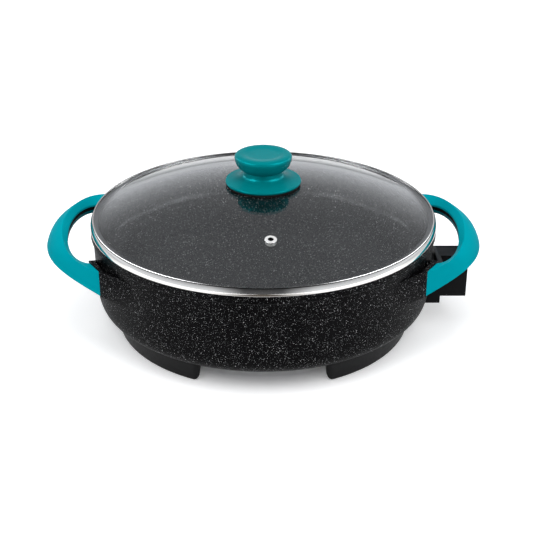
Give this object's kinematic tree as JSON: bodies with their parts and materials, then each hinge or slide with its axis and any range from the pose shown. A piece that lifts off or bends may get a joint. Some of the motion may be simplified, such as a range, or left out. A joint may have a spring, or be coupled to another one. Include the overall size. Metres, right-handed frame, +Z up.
{
  "type": "electric skillet",
  "caption": "Round cast electric skillet on two curved skids, with a loop handle on each side, a hooded plug-in socket and a domed glass lift-off lid with a metal rim and a knob.",
  "frame": {"origin": "on the surface that the skillet stands on, under the centre of the pan", "axes": "+Z up through the lid's knob, +X from the centre towards the plug-in socket, +Y towards the rear, away from the viewer of the picture"},
  "size_m": [0.4534, 0.36, 0.1847],
  "materials": {
    "speckled_coating": "charcoal non-stick coating with fine white specks on cast aluminium",
    "element_steel": "heat-darkened steel sheath",
    "plain_steel": "plain sheet steel",
    "pin_steel": "nickel-plated contact pin",
    "bush_ceramic": "off-white insulating ceramic",
    "shroud_plastic": "satin black heat-proof plastic",
    "skid_plastic": "satin black heat-proof plastic",
    "handle_plastic": "satin teal heat-proof plastic",
    "knob_plastic": "glossy teal heat-proof plastic",
    "screw_steel": "zinc-plated steel",
    "lid_glass": "clear tempered glass",
    "polished_steel": "polished stainless steel",
    "gasket_rubber": "matt black heat-proof rubber",
    "insert_brass": "turned brass"
  },
  "bodies": {
    "base": {"pan": "speckled_coating", "heating_element": "element_steel", "socket_plate": "plain_steel", "socket_shroud": "shroud_plastic", "base_plate": "plain_steel", "probe_sleeve": "plain_steel", "terminal_pin_front": "pin_steel", "terminal_pin_rear": "pin_steel", "terminal_bush_front": "bush_ceramic", "terminal_bush_rear": "bush_ceramic", "shroud_screw_front": "screw_steel", "shroud_screw_rear": "screw_steel", "skid_right": "skid_plastic", "skid_left": "skid_plastic", "handle_grip_right": "handle_plastic", "handle_grip_left": "handle_plastic", "handle_insert_right": "handle_plastic", "handle_insert_left": "handle_plastic", "skid_screw_rear_right": "screw_steel", "skid_screw_rear_left": "screw_steel", "skid_screw_front_left": "screw_steel", "skid_screw_front_right": "screw_steel", "handle_screw_front_left": "screw_steel", "handle_screw_front_right": "screw_steel", "handle_screw_rear_left": "screw_steel", "handle_screw_rear_right": "screw_steel"},
    "lid": {"lid_glass": "lid_glass", "lid_band": "polished_steel", "knob": "knob_plastic", "knob_gasket": "gasket_rubber", "knob_insert": "insert_brass", "knob_washer": "screw_steel", "knob_screw": "screw_steel", "vent_eyelet": "polished_steel"}
  },
  "joints": [
    {"name": "lid_lift", "type": "slide", "parent": "base", "child": "lid", "axis": [0, 0, 1], "range_m": [0, 0.12]}
  ]
}
